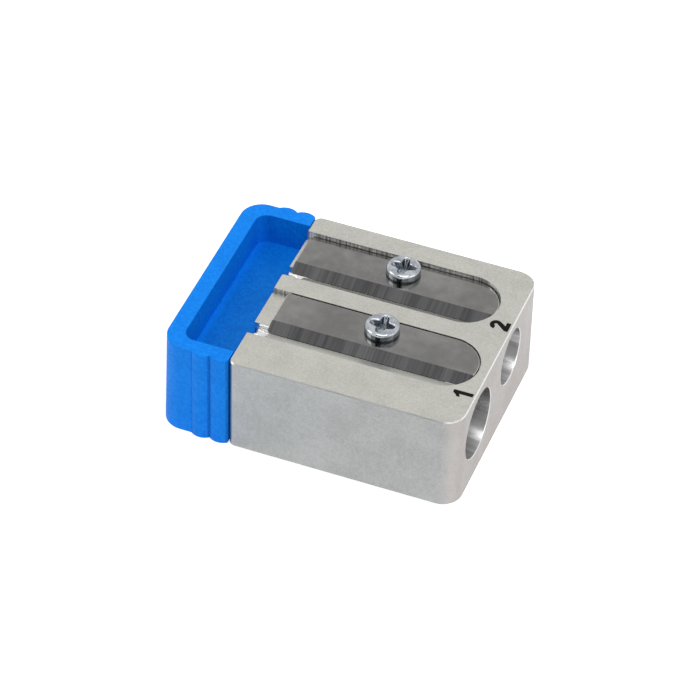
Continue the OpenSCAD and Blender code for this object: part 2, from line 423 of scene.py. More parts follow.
@dataclass(frozen=True)
class Blank:
    """A material without its pattern, which a finish is worked into.

    Args:
        graph: The material's graph.
        shader: Its Principled shader.
        place: The object coordinates.
        effects: The shared effects.
    """

    graph: Graph
    shader: bpy.types.Node
    place: Socket
    effects: Effects

    def set(self, name: str, value: object) -> None:
        """Links one of the shader's inputs, or sets it to a plain value."""
        self.graph.feed(self.shader.inputs[name], value)

    def patches(self, patches: float) -> Socket:
        """Places the soft patches, and gives their mask."""
        return self.effects.mottle.place(self.graph, {"Vector": self.place, "Patches": patches})["Mask"]

    def grain(self, grains: float, pits: float) -> bpy.types.bpy_prop_collection:
        """Places the fine grain, and gives its height and mask."""
        return self.effects.grain.place(self.graph, {"Vector": self.place, "Grains": grains, "Pits": pits})


@dataclass(frozen=True)
class EndTone:
    """A lighter tone beyond a place along X, which paints the light that falls on that end.

    Args:
        dark: Colour of the darkest places there.
        light: Colour of the lightest places there.
        start: X where the tone starts to change.
        stop: X where it has changed.
    """

    dark: Colour
    light: Colour
    start: float
    stop: float


@dataclass(frozen=True)
class Finish:
    """Base of a finish: a named material with a Principled shader on Object coordinates.

    Args:
        look: Which finish it is.
        dark: Colour of its darkest places.
        light: Colour of its lightest places.
        rough_low: Least roughness.
        rough_high: Most roughness.
        end: Lighter tone at one end, which paints the light falling there, or None where the tone is the same all
            over.
    """

    look: Look
    dark: Colour
    light: Colour
    rough_low: float
    rough_high: float
    end: EndTone | None = None
    metallic: ClassVar[float] = 1.0

    def material(self, effects: Effects) -> bpy.types.Material:
        """Builds the material.

        Args:
            effects: The shared effects.

        Returns:
            The material.
        """
        made = bpy.data.materials.new(self.look.value)
        made.use_nodes = True
        made.node_tree.nodes.clear()
        graph = Graph(made.node_tree)
        shader = graph.node("BsdfPrincipled", {"Metallic": self.metallic})
        graph.node("OutputMaterial", {"Surface": shader.outputs["BSDF"]})
        self.dress(Blank(graph, shader, graph.node("TexCoord").outputs["Object"], effects))
        return made

    def dress(self, blank: Blank) -> None:
        """Works the finish's patterns into a blank."""
        raise NotImplementedError

    def colour_and_gloss(self, blank: Blank, shade: Socket) -> None:
        """Lets one shade choose both the colour and the roughness, lighter places being smoother.

        Args:
            blank: The material's blank.
            shade: The shade, from 0 to 1.
        """
        graph = blank.graph
        colour = graph.tint(shade, self.dark, self.light)
        # Towards one end the colour turns to a lighter one: painted light.
        if self.end is not None:
            along = graph.node("SeparateXYZ", {"Vector": blank.place}).outputs["X"]
            reach = graph.ramp(along, self.end.start, self.end.stop)
            colour = graph.tint(reach, colour, graph.tint(shade, self.end.dark, self.end.light))
        blank.set("Base Color", colour)
        blank.set("Roughness", graph.ramp(shade, 0.0, 1.0, self.rough_high, self.rough_low))


@dataclass(frozen=True)
class SatinMetal(Finish):
    """Tumbled, drawn or rolled metal, with faint patches and a fine grain.

    Args:
        patches: Fineness of the patches, in noise cells per metre.
        grains: Fineness of the grain, in noise cells per metre.
        grain_part: Weight of the grain in the shade.
        pits: Depth of the pits, as a part of the grain's height.
        height: Height of the grain.
        relief: Strength of that height.
    """

    patches: float = 320.0
    grains: float = 7000.0
    grain_part: float = 0.4
    pits: float = 0.35
    height: float = 0.004 * MM
    relief: float = 0.6

    def dress(self, blank: Blank) -> None:
        """Works the patches and the grain into a blank.

        Args:
            blank: The material's blank.
        """
        grain = blank.grain(self.grains, self.pits)
        self.colour_and_gloss(
            blank, blank.graph.share(grain["Mask"], blank.patches(self.patches), self.grain_part))
        blank.set("Normal", blank.graph.bump(grain["Height"], self.height, self.relief))


@dataclass(frozen=True)
class MouldedPlastic(SatinMetal):
    """Coloured moulded plastic, half gloss, with a fine spark-eroded grain.

    Args:
        ior: Index of refraction.
        specular: Level of the clear reflection.
    """

    patches: float = 180.0
    grains: float = 3000.0
    grain_part: float = 0.75
    pits: float = 0.0
    height: float = 0.020 * MM
    relief: float = 0.5
    ior: float = 1.49
    specular: float = 0.12
    metallic: ClassVar[float] = 0.0

    def dress(self, blank: Blank) -> None:
        """Works the patches, the grain and the clear reflection into a blank.

        Args:
            blank: The material's blank.
        """
        super().dress(blank)
        blank.set("IOR", self.ior)
        blank.set("Specular IOR Level", self.specular)


@dataclass(frozen=True)
class MarkedMetal(Finish):
    """Metal with straight tool marks: a milled wall, a reamed hole or a ground bevel. In a reamed hole the wide
    bands also paint reflections.

    Args:
        lines: Fineness of the marks, in noise cells per metre.
        bands: Fineness of the wider bands, in noise cells per metre.
        band_part: Weight of the bands in the shade.
        origin: Middle of the pattern.
        turn: Turn of the pattern's axes.
        reach: How long the marks run along each of the pattern's axes, as a multiple of their width.
        height: Height of the marks.
        relief: Strength of that height.
    """

    lines: float = 9000.0
    bands: float = 500.0
    band_part: float = 0.55
    origin: tuple[float, float, float] = (0.0, 0.0, 0.0)
    turn: tuple[float, float, float] = (0.0, 0.0, 0.0)
    reach: tuple[float, float, float] = (1.0, 50.0, 50.0)
    height: float = 0.003 * MM
    relief: float = 0.7

    def dress(self, blank: Blank) -> None:
        """Works the marks into a blank.

        Args:
            blank: The material's blank.
        """
        graph = blank.graph
        mapping = {"Vector": blank.place, "Location": self.origin, "Rotation": self.turn, "Scale": self.reach}
        turned = graph.node("Mapping", mapping, vector_type="TEXTURE").outputs["Vector"]
        given = {"Vector": turned, "Lines": self.lines, "Bands": self.bands}
        marks = blank.effects.marks.place(graph, given)
        self.colour_and_gloss(blank, graph.share(marks["Bands"], marks["Lines"], self.band_part))
        blank.set("Normal", graph.bump(marks["Lines"], self.height, self.relief))


@dataclass(frozen=True)
class Plating(Finish):
    """Bright plating, with a little orange peel.

    Args:
        patches: Fineness of the orange peel, in noise cells per metre.
        height: Height of the orange peel.
        relief: Strength of that height.
    """

    patches: float = 900.0
    height: float = 0.012 * MM
    relief: float = 0.4

    def dress(self, blank: Blank) -> None:
        """Works the orange peel into a blank.

        Args:
            blank: The material's blank.
        """
        peel = blank.patches(self.patches)
        self.colour_and_gloss(blank, peel)
        blank.set("Normal", blank.graph.bump(peel, self.height, self.relief))


@dataclass(frozen=True)
class PrintInk(Finish):
    """Black pad-printed ink.

    Args:
        grains: Fineness of the grain, in noise cells per metre.
        specular: Level of the clear reflection.
    """

    grains: float = 5000.0
    specular: float = 0.08
    metallic: ClassVar[float] = 0.0

    def dress(self, blank: Blank) -> None:
        """Works the grain into a blank."""
        self.colour_and_gloss(blank, blank.grain(self.grains, 0.0)["Mask"])
        blank.set("Specular IOR Level", self.specular)


def make_finishes(effects: Effects) -> dict[Look, bpy.types.Material]:
    """Makes every finish of the object.

    Args:
        effects: The shared effects.

    Returns:
        The materials, by look.
    """
    end_light_from, end_light_to = 2.3 * MM, 0.4 * MM
    tray_wall, wall_fade = 2.3 * MM, 1.1 * MM
    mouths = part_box("sharpener_block")[1].x
    # The drawn sides turn lighter at the mouth end and round its corners: painted light falling on that end.
    painted_end_light = EndTone((0.560, 0.528, 0.515), (0.642, 0.610, 0.596), mouths - end_light_from, mouths - end_light_to)
    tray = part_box("stop_cap")[0].x + tray_wall
    # Inside the tray the darker plastic turns lighter on its far wall, which faces the block: painted light
    # falling on that wall.
    painted_wall_light = EndTone((0.001, 0.190, 0.770), (0.003, 0.262, 0.930), tray + wall_fade, tray)
    made = [
        SatinMetal(Look.TUMBLED, (0.440, 0.437, 0.404), (0.578, 0.575, 0.532), 0.30, 0.44, grains=4500.0,
                   grain_part=0.55),
        SatinMetal(Look.DRAWN, (0.408, 0.418, 0.414), (0.540, 0.556, 0.553), 0.28, 0.42, painted_end_light, patches=260.0,
                   grains=4500.0, grain_part=0.5),
        SatinMetal(Look.BURNISHED, (0.80, 0.80, 0.79), (0.92, 0.92, 0.91), 0.12, 0.22),
        MarkedMetal(Look.MILLED, (0.20, 0.20, 0.20), (1.0, 1.0, 0.99), 0.34, 0.5, lines=3600.0, bands=900.0,
                    band_part=0.15),
        SatinMetal(Look.ROLLED, (0.160, 0.158, 0.154), (0.275, 0.272, 0.262), 0.12, 0.17, patches=110.0,
                   grain_part=0.25, height=0.0012 * MM),
        MarkedMetal(Look.GROUND, (0.040, 0.040, 0.042), (0.140, 0.140, 0.143), 0.22, 0.34, lines=5000.0,
                    bands=420.0),
        # Lighter steel for the blades' rounded edges: painted highlight.
        SatinMetal(Look.HONED, (0.50, 0.50, 0.49), (0.62, 0.62, 0.60), 0.12, 0.2),
        Plating(Look.PLATED, (0.28, 0.305, 0.335), (0.56, 0.585, 0.62), 0.04, 0.10, patches=600.0),
        # Darker plating for the screw's recess: painted shade.
        Plating(Look.RECESS, (0.07, 0.08, 0.09), (0.38, 0.41, 0.45), 0.10, 0.22, patches=1500.0),
        # Dark plating for the foot of the screw heads: painted contact shadow.
        Plating(Look.TARNISHED, (0.08, 0.085, 0.09), (0.22, 0.23, 0.24), 0.12, 0.25),
        MouldedPlastic(Look.MOULDED, (0.001, 0.202, 0.815), (0.005, 0.280, 0.985), 0.40, 0.52),
        # Darker plastic for the tray and the groove bottoms: painted shade.
        MouldedPlastic(Look.MOULDED_INSIDE, (0.0, 0.142, 0.575), (0.001, 0.208, 0.745), 0.42, 0.55, painted_wall_light),
        PrintInk(Look.INK, (0.003, 0.003, 0.003), (0.007, 0.007, 0.007), 0.5, 0.6),
    ]
    # Along the holes the fine lines are reaming marks; the strong light and dark bands round each hole are painted
    # reflection.
    reamed = ((Look.REAMED_WOOD, Station.WOOD, 0.34, 0.70), (Look.REAMED_LEAD, Station.LEAD, 0.38, 0.84))
    for look, station, dark, light in reamed:
        axis = hole_axis(station)
        turn = axis.along.to_track_quat("X", "Z").to_euler()
        made.append(MarkedMetal(
            look, (dark,) * 3, (light,) * 3, 0.26, 0.38, lines=4000.0, bands=900.0, band_part=0.8,
            origin=tuple(axis.point), turn=tuple(turn), reach=(60.0, 1.0, 1.0), height=0.001 * MM))
    return {finish.look: finish.material(effects) for finish in made}


# ---------------------------------------------------------------------------------------------------
# Meshes
# ---------------------------------------------------------------------------------------------------


def merged_copy(node: str) -> Shell:
    """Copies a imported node's mesh.

    Args:
        node: Name of the node.

    Returns:
        The copy as one closed shell, with the triangles of each flat face joined.
    """
    mesh = bmesh.new()
    mesh.from_mesh(frame["nodes"][node].data)
    bmesh.ops.remove_doubles(mesh, verts=mesh.verts, dist=MERGE_DISTANCE)
    bmesh.ops.dissolve_limit(mesh, angle_limit=FLAT_ANGLE, verts=mesh.verts, edges=mesh.edges, delimit=set())
    mesh.normal_update()
    return mesh


def round_edges(mesh: Shell, edges: Iterable[bmesh.types.BMEdge], radius: float,
                segments: int) -> list[Face]:
    """Rounds some edges of a shell.

    Args:
        mesh: The shell.
        edges: The edges to round.
        radius: Width of the rounding on each side.
        segments: Facets of the rounding.

    Returns:
        The faces of the rounding.
    """
    made = bmesh.ops.bevel(mesh, geom=list(edges), offset=radius, offset_type="OFFSET", segments=segments,
                           profile=0.5, affect="EDGES", clamp_overlap=True, material=-1)
    mesh.normal_update()
    return made["faces"]


def carve_box(mesh: Shell, low: Vector, high: Vector) -> Shell:
    """Cuts an upright box out of a closed shell.

    Args:
        mesh: The shell, which is freed.
        low: Lowest corner of the box.
        high: Highest corner of the box.

    Returns:
        The shell that is left.
    """
    box = bmesh.new()
    bmesh.ops.create_cube(box, size=1.0)
    bmesh.ops.scale(box, vec=high - low, verts=box.verts)
    bmesh.ops.translate(box, vec=(low + high) / 2, verts=box.verts)
    helpers = []
    for shape, name in ((mesh, "carved_shell"), (box, "carving_box")):
        data = bpy.data.meshes.new(name)
        shape.to_mesh(data)
        shape.free()
        helpers.append(bpy.data.objects.new(name, data))
        bpy.context.scene.collection.objects.link(helpers[-1])
    shell, cutter = helpers
    cut = shell.modifiers.new("carving", "BOOLEAN")
    cut.operation = "DIFFERENCE"
    cut.solver = "EXACT"
    cut.object = cutter
    left = bmesh.new()
    left.from_object(shell, bpy.context.evaluated_depsgraph_get())
    for helper in helpers:
        bpy.data.meshes.remove(helper.data)
    bmesh.ops.remove_doubles(left, verts=left.verts, dist=MERGE_DISTANCE)
    left.normal_update()
    return left


def spin_profile(mesh: Shell, profile: Iterable[tuple[float, float]], segments: int) -> None:
    """Spins a half section round Z into a closed shell.

    Args:
        mesh: The mesh that takes the shell.
        profile: Points of the half section, as radius and height, from axis to axis.
        segments: Steps of the full turn.
    """
    verts = [mesh.verts.new((radius, 0, height)) for radius, height in profile]
    edges = [mesh.edges.new(pair) for pair in zip(verts, verts[1:])]
    bmesh.ops.spin(mesh, geom=verts + edges, cent=(0, 0, 0), axis=(0, 0, 1), angle=math.tau, steps=segments,
                   use_merge=True)
    bmesh.ops.remove_doubles(mesh, verts=mesh.verts, dist=MERGE_DISTANCE)


def assign(mesh: Shell, tests: Iterable[Test]) -> None:
    """Gives each face the number of the first test that it meets.

    Args:
        mesh: The shell.
        tests: The tests, in the order of the materials. The last one should hold for every face.
    """
    ordered = list(tests)
    for face in mesh.faces:
        face.material_index = next(i for i, test in enumerate(ordered) if test(face))


def make_piece(mesh: Shell, name: str, materials: Iterable[bpy.types.Material],
               edge_radius: float = 0.0) -> bpy.types.Object:
    """Turns a shell into a piece at the origin, smooth but for its creases.

    Args:
        mesh: The shell, which is freed.
        name: Name of the piece.
        materials: Its materials, in the order of the faces' numbers.
        edge_radius: Rounding of every crease, or 0 for none.

    Returns:
        The piece.
    """
    data = bpy.data.meshes.new(name)
    mesh.normal_update()
    mesh.to_mesh(data)
    mesh.free()
    for material in materials:
        data.materials.append(material)
    data.polygons.foreach_set("use_smooth", [True] * len(data.polygons))
    data.set_sharp_from_angle(angle=CREASE_ANGLE)
    piece = bpy.data.objects.new(name, data)
    bpy.context.scene.collection.objects.link(piece)
    if edge_radius > 0:
        rounding = piece.modifiers.new("edge_rounding", "BEVEL")
        rounding.width = edge_radius
        rounding.segments = EDGE_SEGMENTS
        rounding.limit_method = "ANGLE"
        rounding.angle_limit = CREASE_ANGLE
        rounding.harden_normals = True
    weighted = piece.modifiers.new("flat_faces", "WEIGHTED_NORMAL")
    weighted.keep_sharp = True
    return piece


@dataclass
class Block:
    """The metal block, with its faces, edges, pockets and holes finished apart.

    Args:
        materials: The finishes.
        edge_radius: Rounding of every edge.
        edge_break: Widest chamfer of the outline and the mouths.
        pocket_depth: Depth of the deepest pocket.
        wall_margin: Least metal round the pockets.
        notch_length: Length of the notches at the cap's end.
        notch_zone: Part of the height above which, and of the half width within which, the notches lie.
        throat: Width of the chip slot before the lead blade's edge.
        throat_depth: Depth of that slot.
        throat_room: Metal that stays between the slot and the edge.
        throat_start: Distance from the cap's end at which the slot starts.
        throat_end: Distance from the mouths at which it ends.
        skin: Distance within which a face counts as lying in a plane.
        slant_low: Least part of a chamfer's normal along an axis.
        slant_high: Most part of it.
        steep: Most upward part of the normal on an upright wall.
        plain: Least upward part of the normal on the top and the foot.
        hole_slack: Greatest distance of a hole's wall from its axis, in radii of the guide.
        inward: Least part of that wall's normal towards the axis.
    """

    materials: Mapping[Look, bpy.types.Material]
    edge_radius: float = 0.04 * MM
    edge_break: float = 0.14 * MM
    pocket_depth: float = 1.7 * MM
    wall_margin: float = 0.30 * MM
    notch_length: float = 2.35 * MM
    notch_zone: float = 0.8
    throat: float = 0.30 * MM
    throat_depth: float = 0.66 * MM
    throat_room: float = 0.09 * MM
    throat_start: float = 2.115 * MM
    throat_end: float = 3.75 * MM
    skin: float = 0.02 * MM
    slant_low: float = 0.3
    slant_high: float = 0.95
    steep: float = 0.2
    plain: float = 0.99
    hole_slack: float = 1.01
    inward: float = 0.8

    def __post_init__(self) -> None:
        """Reads the block's corners and the holes' axes."""
        self.low, self.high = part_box("sharpener_block")
        self.holes = {station: hole_axis(station) for station in Station}

    def build(self) -> list[bpy.types.Object]:
        """Builds the block.

        Returns:
            The piece made.
        """
        dressing = {
            Look.BURNISHED: self._is_edge,
            Look.REAMED_WOOD: lambda face: self._in_hole(face, Station.WOOD),
            Look.REAMED_LEAD: lambda face: self._in_hole(face, Station.LEAD),
            Look.MILLED: lambda face: self._in_pocket(face) and abs(face.normal.z) < self.steep,
            Look.TUMBLED: lambda face: self._in_pocket(face) or abs(face.normal.z) > self.plain,
            Look.DRAWN: lambda face: True,
        }
        mesh = self._open_throat(merged_copy("sharpener_block"))
        assign(mesh, dressing.values())
        block = make_piece(mesh, "metal_block", [self.materials[look] for look in dressing], self.edge_radius)
        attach(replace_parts(block, "sharpener_block"), "block")
        return [block]

    def _open_throat(self, mesh: Shell) -> Shell:
        """Opens the chip slot before the lead blade's edge up to the top face.

        Args:
            mesh: The block's shell, which is freed.

        Returns:
            The opened shell.
        """
        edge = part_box(Station.LEAD.blade)[0].y
        low = Vector((self.low.x + self.throat_start, edge - self.throat, self.high.z - self.throat_depth))
        high = Vector((self.high.x - self.throat_end, edge - self.throat_room, self.high.z + self.throat))
        return carve_box(mesh, low, high)

    def _in_hole(self, face: Face, station: Station) -> bool:
        """Tells whether a face is part of a hole's wall: near its axis and facing it.

        Args:
            face: The face.
            station: The station whose hole is meant.

        Returns:
            True if it is.
        """
        axis = self.holes[station]
        offset = axis.offset(face.calc_center_median())
        near = MERGE_DISTANCE < offset.length < axis.radius * self.hole_slack
        return near and face.normal.dot(offset.normalized()) < -self.inward

    def _in_pocket(self, face: Face) -> bool:
        """Tells whether a face is a floor or wall of a pocket: under the top face, inside the outline.

        Args:
            face: The face.

        Returns:
            True if it is.
        """
        middle = face.calc_center_median()
        level = self.high.z - self.pocket_depth < middle.z < self.high.z - self.skin
        inside = self.low.y + self.wall_margin < middle.y < self.high.y - self.wall_margin
        return level and inside and self.low.x + self.skin < middle.x < self.high.x - self.wall_margin

    def _is_edge(self, face: Face) -> bool:
        """Tells whether a face is a chamfer at the mouths' end, or a wall of a notch.

        Args:
            face: The face.

        Returns:
            True if it is.
        """
        middle, normal = face.calc_center_median(), face.normal
        at_rim = middle.z > self.high.z - self.edge_break or middle.z < self.low.z + self.edge_break
        outline = (at_rim and self.slant_low < abs(normal.z) < self.slant_high
                   and normal.x > self.slant_low and not self._in_pocket(face))
        at_mouth = middle.x > self.high.x - self.edge_break and any(
            axis.offset(middle).length < axis.radius + self.edge_break for axis in self.holes.values())
        mouth = at_mouth and self.slant_low < normal.x < self.slant_high
        notch = (self.low.x + self.skin < middle.x < self.low.x + self.notch_length
                 and middle.z > self.notch_zone * self.high.z
                 and abs(middle.y) < self.notch_zone * self.high.y and abs(normal.z) < self.slant_high)
        return outline or mouth or notch


@dataclass
class Digits:
    """The plain numbers 1 and 2 that are printed beside the holes.

    Args:
        ink: The print's material.
        height: Height of a digit.
        width: Width of a digit.
        stroke: Width of its stroke.
        thickness: Thickness of the ink.
        from_mouths: Distance of a digit's middle from the mouth end.
        from_hole: Sideways distance of each digit's middle from the middle of its hole.
        arc_steps: Steps of the bowl of the 2.
    """

    ink: bpy.types.Material
    height: float = 2.3 * MM
    width: float = 1.42 * MM
    stroke: float = 0.52 * MM
    thickness: float = 0.012 * MM
    from_mouths: float = 1.47 * MM
    from_hole: Mapping[Station, float] = field(
        default_factory=lambda: {Station.WOOD: -1.54 * MM, Station.LEAD: -0.23 * MM})
    arc_steps: int = 20

    def build(self) -> list[bpy.types.Object]:
        """Prints both digits.

        Returns:
            The pieces made.
        """
        return [self._print(Station.WOOD, self._one()), self._print(Station.LEAD, self._two())]

    def _print(self, station: Station, outline: list[tuple[float, float]]) -> bpy.types.Object:
        """Prints one digit on the top face, with its head towards the cap.

        Args:
            station: The station whose number is printed.
            outline: The digit's outline, about its middle.

        Returns:
            The digit's piece.
        """
        mesh = bmesh.new()
        face = mesh.faces.new([mesh.verts.new((x, y, 0)) for x, y in outline])
        raised = bmesh.ops.extrude_face_region(mesh, geom=[face])["geom"]
        bmesh.ops.translate(mesh, vec=(0, 0, self.thickness),
                            verts=[v for v in raised if isinstance(v, bmesh.types.BMVert)])
        bmesh.ops.recalc_face_normals(mesh, faces=mesh.faces)
        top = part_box("sharpener_block")[1]
        side = hole_axis(station).point.y + self.from_hole[station]
        middle = Vector((top.x - self.from_mouths, side, top.z))
        bmesh.ops.transform(mesh, matrix=Matrix.Translation(middle) @ Matrix.Rotation(math.pi / 2, 4, "Z"),
                            verts=mesh.verts)
        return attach(make_piece(mesh, f"printed_{station.value}", [self.ink]), "block")

    def _one(self) -> list[tuple[float, float]]:
        """Outlines the 1: a stem with a flag.

        Returns:
            The points, anticlockwise.
        """
        head, foot = self.height / 2, -self.height / 2
        right, tip = 0.24 * self.width, -0.45 * self.width
        left = right - self.stroke
        places = (left + 0.2 * self.stroke, (left + tip) / 2, tip, tip, left)
        drops = (0.0, 0.8, 1.05, 1.85, 1.45)
        flag = [(x, head - drop * self.stroke) for x, drop in zip(places, drops)]
        return [(left, foot), (right, foot), (right, head), *flag]

    def _two(self) -> list[tuple[float, float]]:
        """Outlines the 2: a bowl, a diagonal and a foot.

        Returns:
            The points, clockwise.
        """
        start, sweep = 175, 215
        outer = self.width / 2
        inner = outer - self.stroke
        bowl_y = self.height / 2 - outer
        foot = -self.height / 2
        turns = [math.radians(start - sweep * i / self.arc_steps) for i in range(self.arc_steps + 1)]
        outside = [(outer * math.cos(a), bowl_y + outer * math.sin(a)) for a in turns]
        inside = [(inner * math.cos(a), bowl_y + inner * math.sin(a)) for a in reversed(turns)]
        base = [(-outer + 1.6 * self.stroke, foot + self.stroke), (outer, foot + self.stroke), (outer, foot),
                (-outer, foot), (-outer, foot + 0.8 * self.stroke)]
        return [*outside, *base, *inside]


@dataclass
class StopCap:
    """The plastic cap, with moulded roundings on its rim and foot, and darker plastic in its tray and grooves that
    paints their shade.

    Args:
        materials: The finishes.
        wall: Least width of the rim round the tray.
        tray_floor: Part of the cap's height under which no face is part of the tray.
        rim_radius: Rounding of the rim and the foot.
        rim_segments: Facets of that rounding.
        edge_radius: Rounding of every other edge.
        joint_room: Distance from the joint within which edges stay crisp.
        rib_height: Depth of the grooves between the ribs.
        rib_slope: Least lengthwise part of the normal at the bottom of a groove.
        ribs_length: Distance from the pegs' tips within which the flanks have ribs.
        steep: Most upward part of the normal on an upright wall.
        level: Distance within which a point counts as lying in a level.
    """

    materials: Mapping[Look, bpy.types.Material]
    wall: float = 1.9 * MM
    tray_floor: float = 0.5
    rim_radius: float = 0.28 * MM
    rim_segments: int = 5
    edge_radius: float = 0.08 * MM
    joint_room: float = 0.3 * MM
    rib_height: float = 0.8 * MM
    rib_slope: float = 0.55
    ribs_length: float = 11.4 * MM
    steep: float = 0.1
    level: float = 0.01 * MM

    def __post_init__(self) -> None:
        """Reads the cap's corners."""
        self.low, self.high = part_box("stop_cap")

    def build(self) -> list[bpy.types.Object]:
        """Builds the cap.

        Returns:
            The piece made.
        """
        mesh = merged_copy("stop_cap")
        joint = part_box("sharpener_block")[0].x - self.joint_room
        levels = (self.low.z, self.high.z)
        rounded = [edge for edge in mesh.edges if all(v.co.x < joint for v in edge.verts) and any(
            all(abs(v.co.z - level) < self.level for v in edge.verts) for level in levels)]
        round_edges(mesh, rounded, self.rim_radius, self.rim_segments)
        # The tray and the groove bottoms take the darker plastic that paints their shade.
        dressing = {Look.MOULDED: lambda face: not self._is_sheltered(face),
                    Look.MOULDED_INSIDE: lambda face: True}
        assign(mesh, dressing.values())
        cap = make_piece(mesh, "plastic_cap", [self.materials[look] for look in dressing], self.edge_radius)
        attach(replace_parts(cap, "stop_cap"), "cap")
        return [cap]

    def _is_sheltered(self, face: Face) -> bool:
        """Tells whether a face is the floor or a wall of the tray, or the bottom of a groove, which get darker
        plastic as painted shade.

        Args:
            face: The face.

        Returns:
            True if it is.
        """
        middle = face.calc_center_median()
        if abs(middle.y) > self.high.y - self.rib_height and middle.x > self.high.x - self.ribs_length:
            return abs(face.normal.x) > self.rib_slope and abs(face.normal.z) < self.steep
        inside = self.low.x + self.wall < middle.x and abs(middle.y) < self.high.y - self.wall
        return inside and self.tray_floor * self.high.z < middle.z < self.high.z - self.rim_radius / 2


@dataclass
class Blade:
    """One blade: rolled faces, a cross-ground bevel and rolled-over edges, whose lighter steel paints their
    highlight.

    Args:
        station: The station that the blade serves.
        materials: The finishes.
        edge_radius: Radius of the rolled-over edges.
        edge_segments: Facets of that rounding.
        flat: Least upward part of the normal on the flat face.
        bevel: Least upward part of the normal on the ground bevel.
        steep: Most upward part of the normal on a side wall.
    """

    station: Station
    materials: Mapping[Look, bpy.types.Material]
    edge_radius: float = 0.08 * MM
    edge_segments: int = 3
    flat: float = 0.999
    bevel: float = 0.8
    steep: float = 0.05

    def build(self) -> list[bpy.types.Object]:
        """Builds the blade.

        Returns:
            The piece made.
        """
        up = screw_axis(self.station).along
        mesh = merged_copy(self.station.blade)
        looks = (Look.ROLLED, Look.GROUND, Look.HONED)
        assign(mesh, [lambda face: not self.bevel < face.normal.dot(up) < self.flat, lambda face: True])
        rim = [edge for edge in mesh.edges if self._is_rim(edge, up)]
        # The rounded edges take the lighter steel that paints their highlight.
        for face in round_edges(mesh, rim, self.edge_radius, self.edge_segments):
            face.material_index = looks.index(Look.HONED)
        blade = make_piece(mesh, f"steel_{self.station.blade}", [self.materials[look] for look in looks])
        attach(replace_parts(blade, self.station.blade), self.station.blade)
        return [blade]

    def _is_rim(self, edge: bmesh.types.BMEdge, up: Vector) -> bool:
        """Tells whether an edge lies between the flat face and a side wall."""
        parts = sorted(face.normal.dot(up) for face in edge.link_faces)
        return abs(parts[0]) < self.steep and parts[-1] > self.flat


